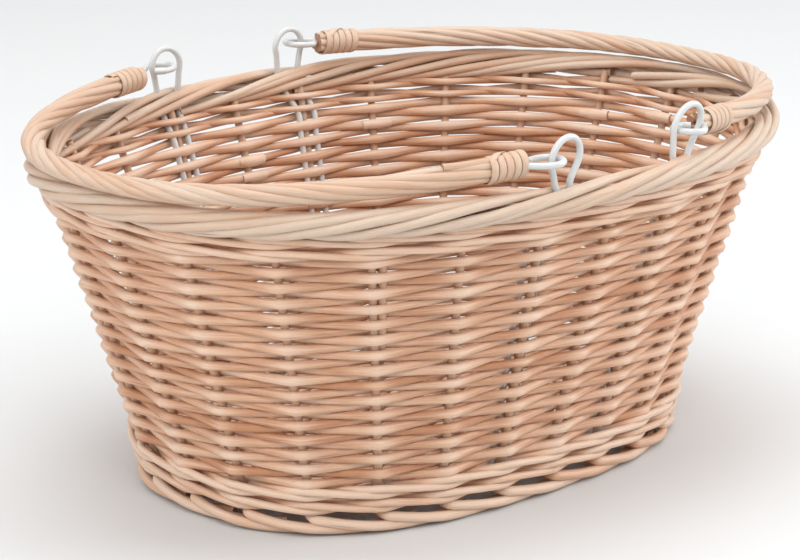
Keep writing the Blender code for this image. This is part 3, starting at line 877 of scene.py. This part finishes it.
def hoop(name, stake, rise, neck, lean, shift):
    """A hoop over a stake. rise is the top of its wire above the rim, neck half its width where it
    comes out of the border, lean its tilt along the rim, shift how far it has slid along it."""
    side, end = name.split("_")[1:]
    y = HINGE_Y if end == "back" else -HINGE_Y
    middle = Vector((HINGES[side].x + shift, y, 0))
    top = RIM_TOP + rise - HOOP_ARCH_RADIUS
    outward = Vector((0, math.copysign(1, y), 0))
    legs = []
    for way in (-1, 1):
        turned = -way if end == "back" else way
        share = stake * STAKE_SPACING + turned * HOOP_LEG_SPREAD / WALL_ROUND
        heights = [HOOP_LEG_FOOT + HOOP_LEG_STEP * k for k in range(HOOP_LEG_STEPS)]
        leg = [wall_place(share, height) - outward * HOOP_LEG_INWARD for height in heights]
        leg.append(middle + Vector((way * neck * HOOP_NECK_PINCH, 0, RIM_TOP - HOOP_NECK_DEPTH)))
        leg.append(middle + Vector((way * neck, 0, RIM_TOP)))
        legs.append(leg)
    arch = []
    for k in range(HOOP_ARCH_STEPS + 1):
        turn = math.radians(HOOP_ARCH_START - HOOP_ARCH_TURN * k / HOOP_ARCH_STEPS)
        place = Vector((HOOP_ARCH_RADIUS * math.cos(turn), 0, top + HOOP_ARCH_RADIUS * math.sin(turn)))
        arch.append(middle + place + Vector((lean * (place.z - RIM_TOP), 0, 0)))
    line = [(*place, 1.0) for place in (*legs[0], *arch, *reversed(legs[1]))]
    obj = woven(name + "_wire", wire_tree, [(line, False)], WIRE_SIZES)
    show(obj, "basket", "coated_wire", name)


hoop("hoop_left_front", STAKES - 1, 0.0245, neck=0.0060, lean=0.18, shift=0.003)
hoop("hoop_left_back", STAKES // 2 + 1, 0.0250, neck=0.0084, lean=-0.05, shift=-0.003)
hoop("hoop_right_front", 1, 0.0275, neck=0.0062, lean=0.32, shift=0.002)
hoop("hoop_right_back", STAKES // 2 - 1, 0.0235, neck=0.0086, lean=0.05, shift=-0.001)

# ---------------------------------------------------------------------------------------------------
# THE HANDLES. A core wire with a hooked eye at each end, roped with seven willow rods that lie in a slow
# twist, and bound at each end with split willow. They rest on the rim, their crowns over the ends.

HANDLE_STRANDS = 7
HANDLE_ROD_RADIUS = 0.00250
HANDLE_ROPE_RADIUS = 0.0040
HANDLE_TWIST = 0.165  # metres for a full turn
# Front and back: from the hinge line to where the rods begin, and the rod ends beyond the bindings.
HANDLE_LEAD = {"left": (0.0155, 0.0310), "right": (0.0215, 0.0150)}
BARE_ENDS = {"left": (0.0020, 0.0025), "right": (0.0085, 0.0045)}
HANDLE_OVERHANG = {"left": 0.0030, "right": 0.0}
ROD_BOX_RADIUS = 0.0070
SKEIN_THICKNESS = 0.0011
SKEIN_WIDTH = 0.0046
SKEIN_GAP = 0.0002
BINDING_RADIUS = 0.0072
BINDING_LENGTH = 0.0240
TURN_STEPS, TAIL_STEPS = 20, 12
TAIL_START, TAIL_TURN = 1.2, 2.1  # radians round the binding
TAIL_FROM, TAIL_SPAN = 0.06, 0.88  # shares of the binding's length
TAIL_TUCK = 0.0016
HANDLE_STEPS = 160
CROWN_FLATTENING, CROWN_SHARE = 0.28, 0.16
CROWN_SINK = 0.0018
ROPE_STEP = 0.006
ROPE_RAGGED_END = 0.0035
ROPE_EASE = 0.08  # the twist is slacker near the ends than at the crown
ROPE_SWELL, SWELL_FROM_END, SWELL_LENGTH = 0.12, 0.045, 0.02
ROPE_SHADE_LEVEL = 0.28  # a roped rod is neither in nor out: the finish paints it with about half its painted shade
split_willow = willow_finish("split willow skein", CREAM, SAND, BISCUIT)


def rope_layer():
    """Lays a flat pattern along a path: its x is the way along, y across, z out of the path's plane."""
    labels = {"Path": "Object", "Plane": "Vector", "Sway": "Float"}
    tree, given = start_tree("rope layer", {**labels, **ROD_INPUTS})
    flat = tree.add("GeometryNodeInputPosition")
    along, across, up = (flat.part(letter) for letter in "XYZ")
    path = tree.add("GeometryNodeObjectInfo", {}, {"Object": given["Path"]}, "Geometry")
    path = tree.add("GeometryNodeMeshToCurve", {}, {"Mesh": path})
    values = {0: path, "Length": along}
    place = tree.add("GeometryNodeSampleCurve", {"mode": "LENGTH"}, values, "Position")
    way = tree.output(place, "Tangent")
    sideways = way.maths("CROSS_PRODUCT", given["Plane"]).maths("NORMALIZE")
    reach = sideways.scaled(across) + given["Plane"].scaled(up)
    facing = reach.maths("NORMALIZE")
    lines = tree.keep(given["Geometry"], "facing", facing, "FLOAT_VECTOR")
    # The rope's rods get a middling painted shade from the finish.
    lines = tree.keep(lines, "stands_out", ROPE_SHADE_LEVEL)
    rod = tree.attribute("rod", "INT")
    sway = tree.noise(place, 25.0, rod * 5.3 + given["Seed"], output=1) - (0.5, 0.5, 0.5)
    place = place + reach + sway.scaled(given["Sway"] * 2.0)
    laid = tree.add("GeometryNodeSetPosition", {}, {"Geometry": lines, "Position": place})
    return hand_rods(tree, given, laid)


rope_tree = rope_layer()


def laid_flat(side, tilt, reach, y):
    """A point of a handle at rest: reach is from the hinge line along the handle's own plane."""
    way = -1 if side == "left" else 1
    hinge = HINGES[side]
    return Vector((hinge.x + way * reach * math.cos(tilt), y, hinge.z - reach * math.sin(tilt)))


def handle_shape(side):
    """(the rods' line from the front end round the crown to the back, the handle's tilt at rest)"""
    low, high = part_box(f"{side}_handle_rods")
    hinge_x = abs(HINGES[side].x)
    half_length = max(abs(low.x), abs(high.x)) - ROD_BOX_RADIUS + HANDLE_OVERHANG[side]
    half_width = high.y - ROD_BOX_RADIUS
    crown_drop = HINGES[side].z - low.z - ROD_BOX_RADIUS + CROWN_SINK
    tilt = math.asin(crown_drop / (half_length - hinge_x))
    power = 2 / WALL_SIZES["Rim Squareness"]
    points = []
    for k in range(1, HANDLE_STEPS):
        turn = math.pi * (k / HANDLE_STEPS - 0.5)
        reach = half_length * math.cos(turn) ** power - hinge_x
        y = half_width * math.copysign(abs(math.sin(turn)) ** power, math.sin(turn))
        if reach >= HANDLE_LEAD[side][k > HANDLE_STEPS / 2]:
            points.append(laid_flat(side, tilt, reach, y))
    return points, tilt


def eye_line(side, tilt, end):
    """The wire of an eye, from its open end round to where it meets the rods."""
    knots = [(0.0170, HINGE_Y - 0.0060), (0.0135, HINGE_Y - EYE_RADIUS)]
    for k in range(9):
        turn = math.pi * (1.5 - k / 8)
        knots.append((EYE_RADIUS * (1 + math.cos(turn)), HINGE_Y + EYE_RADIUS * math.sin(turn)))
    knots += [(0.0130, HINGE_Y + 0.0080), (0.0185, HINGE_Y + 0.0030)]
    return [laid_flat(side, tilt, reach, end * y) for reach, y in knots]


def rope_strand(number, length, draw):
    """One strand of a handle's rope, cut off unevenly beyond the bindings."""
    start = draw.uniform(0.0, ROPE_RAGGED_END)
    end = length - draw.uniform(0.0, ROPE_RAGGED_END)
    steps = int((end - start) / ROPE_STEP)
    lead = draw.uniform(-0.15, 0.15)
    places = []
    for k in range(steps + 1):
        along = start + (end - start) * k / steps
        from_end = min(along, length - along)
        eased = math.sin(2 * math.pi * along / length) * ROPE_EASE * length
        turn = lead + 2 * math.pi * number / HANDLE_STRANDS - 2 * math.pi * (along - eased) / HANDLE_TWIST
        swell = 1.0 + ROPE_SWELL * math.exp(-(((from_end - SWELL_FROM_END) / SWELL_LENGTH) ** 2))
        reach = HANDLE_ROPE_RADIUS * swell
        flattened = CROWN_FLATTENING * math.exp(-(((along / length - 0.5) / CROWN_SHARE) ** 2))
        across, up = reach * (1 + 0.5 * flattened), reach * (1 - flattened)
        places.append((along, across * math.cos(turn), up * math.sin(turn), 1.0))
    return places, False


def short_strand():
    """A rod end laid in on top at the front end of a handle, cut off not far past the binding."""
    return [(0.003 + 0.005 * k, -0.0016, 0.0044 + 0.0002 * k, 0.9) for k in range(11)], False


def binding_turns(begin, draw):
    """Flat skein wound round the end of a handle, with its tail drawn slantwise over the turns."""
    turns = BINDING_LENGTH / (SKEIN_WIDTH + SKEIN_GAP)
    steps = int(turns * TURN_STEPS)
    lead = draw.uniform(0, 2 * math.pi)
    wound = []
    for k in range(steps + 1):
        along = begin + BINDING_LENGTH * k / steps
        turn = lead + 2 * math.pi * turns * k / steps
        wound.append((along, BINDING_RADIUS * math.cos(turn), BINDING_RADIUS * math.sin(turn), 1.0))
    tail = []
    over = BINDING_RADIUS + SKEIN_THICKNESS * 0.85
    for k in range(TAIL_STEPS + 1):
        went = k / TAIL_STEPS
        reach = over - TAIL_TUCK * (abs(went - 0.5) * 2) ** 6
        turn = lead + TAIL_START + TAIL_TURN * went
        along = begin + BINDING_LENGTH * (TAIL_FROM + TAIL_SPAN * went)
        tail.append((along, reach * math.cos(turn), reach * math.sin(turn), 0.85))
    return [(wound, False), (tail, False)]


def handle(side, seed):
    body = f"handle_{side}"
    points, tilt = handle_shape(side)
    length = sum((after - before).length for before, after in zip(points, points[1:]))
    path = lines_object(f"{side} handle path", [([(*place, 1.0) for place in points], False)])
    draw = random.Random(seed)
    way = -1 if side == "left" else 1
    rope_sizes = {
        **wall_sizes(HANDLE_ROD_RADIUS, seed, sway=0.0007, wander=0.14, step=0.004, finish=pale_willow),
        "Path": path,
        "Plane": Vector((way * math.sin(tilt), 0, math.cos(tilt))),
    }
    strands = [rope_strand(number, length, draw) for number in range(HANDLE_STRANDS)]
    if side == "left":
        strands.append(short_strand())
    rods = woven(f"{side}_handle_rope", rope_tree, strands, rope_sizes)
    show(rods, body, "willow_pale", f"{side}_handle_rods")

    wire = [*eye_line(side, tilt, -1), *points[2:-2], *reversed(eye_line(side, tilt, 1))]
    wire_line = [(*place, 1.0) for place in wire]
    wire = woven(f"{side}_handle_wire", wire_tree, [(wire_line, False)], WIRE_SIZES)
    show(wire, body, "coated_wire", f"{side}_handle_core_wire")

    skein_sizes = {
        **rope_sizes,
        "Radius": SKEIN_THICKNESS / 2,
        "Flatness": SKEIN_WIDTH / SKEIN_THICKNESS,
        "Keep Facing": True,
        "Sway": 0.0001,
        "Step": 0.0018,
        "Sides": 10,
        "Material": split_willow,
    }
    bare_front, bare_back = BARE_ENDS[side]
    for end, begin in (("front", bare_front), ("back", length - BINDING_LENGTH - bare_back)):
        binding = woven(f"{side}_{end}_skein", rope_tree, binding_turns(begin, draw), skein_sizes)
        show(binding, body, "skein", f"{side}_handle_{end}_binding")
    bpy.data.objects.remove(path)


handle("left", 51)
handle("right", 52)

# ---------------------------------------------------------------------------------------------------
# THE ROOM. A pale floor and soft studio light, and the camera at the height and side of a buyer's look.


def floor_finish():
    made, tree, shader = start_material("studio floor")
    place = tree.add("ShaderNodeTexCoord", output="Object")
    mottle = tree.noise(place, 3.0, 1.0, 3.0)
    colour = tree.blend_colour(mottle, (0.655, 0.665, 0.67, 1), (0.67, 0.68, 0.685, 1))
    drive(tree, shader, "Base Color", colour)
    shader.inputs["Roughness"].default_value = 0.9
    return made


bpy.ops.mesh.primitive_plane_add(size=30.0, location=(0, 0, -0.0005))
floor = bpy.context.object
floor.name = "floor"
floor.data.materials.append(floor_finish())

world = bpy.data.worlds.new("studio")
bpy.context.scene.world = world
world.use_nodes = True
world.node_tree.nodes["Background"].inputs["Color"].default_value = (1.0, 1.0, 1.0, 1.0)
world.node_tree.nodes["Background"].inputs["Strength"].default_value = 0.83


def soft_box(name, place, target, size, power):
    light = bpy.data.lights.new(name, "AREA")
    light.size = size
    light.energy = power
    lamp = bpy.data.objects.new(name, light)
    lamp.location = place
    lamp.rotation_euler = (Vector(target) - Vector(place)).to_track_quat("-Z", "Y").to_euler()
    bpy.context.scene.collection.objects.link(lamp)


soft_box("top light", (0.1, 0.2, 2.3), (0, 0, 0.1), 1.6, 25)
soft_box("key light", (-1.0, -1.7, 1.9), (0, 0, 0.1), 1.2, 16)
soft_box("left light", (-2.2, 0.3, 1.0), (0, 0, 0.1), 1.4, 15)
soft_box("right light", (2.0, -1.4, 1.0), (0, 0, 0.1), 1.4, 27)

CAMERA_AZIMUTH, CAMERA_ELEVATION = math.radians(-43.04), math.radians(15.94)
CAMERA_DISTANCE = 1.813
CAMERA_LENS = 136.7
back = Vector(
    (
        math.sin(CAMERA_AZIMUTH) * math.cos(CAMERA_ELEVATION),
        -math.cos(CAMERA_AZIMUTH) * math.cos(CAMERA_ELEVATION),
        math.sin(CAMERA_ELEVATION),
    )
)
aside = Vector((math.cos(CAMERA_AZIMUTH), math.sin(CAMERA_AZIMUTH), 0))
target = aside * -0.0073 + Vector((0, 0, 0.1039))
lens = bpy.data.cameras.new("camera")
lens.lens = CAMERA_LENS
lens.clip_end = 100.0
camera = bpy.data.objects.new("camera", lens)
camera.location = target + back * CAMERA_DISTANCE
camera.rotation_euler = back.to_track_quat("Z", "Y").to_euler()
bpy.context.scene.collection.objects.link(camera)
bpy.context.scene.camera = camera
bpy.context.scene.view_settings.view_transform = "Standard"
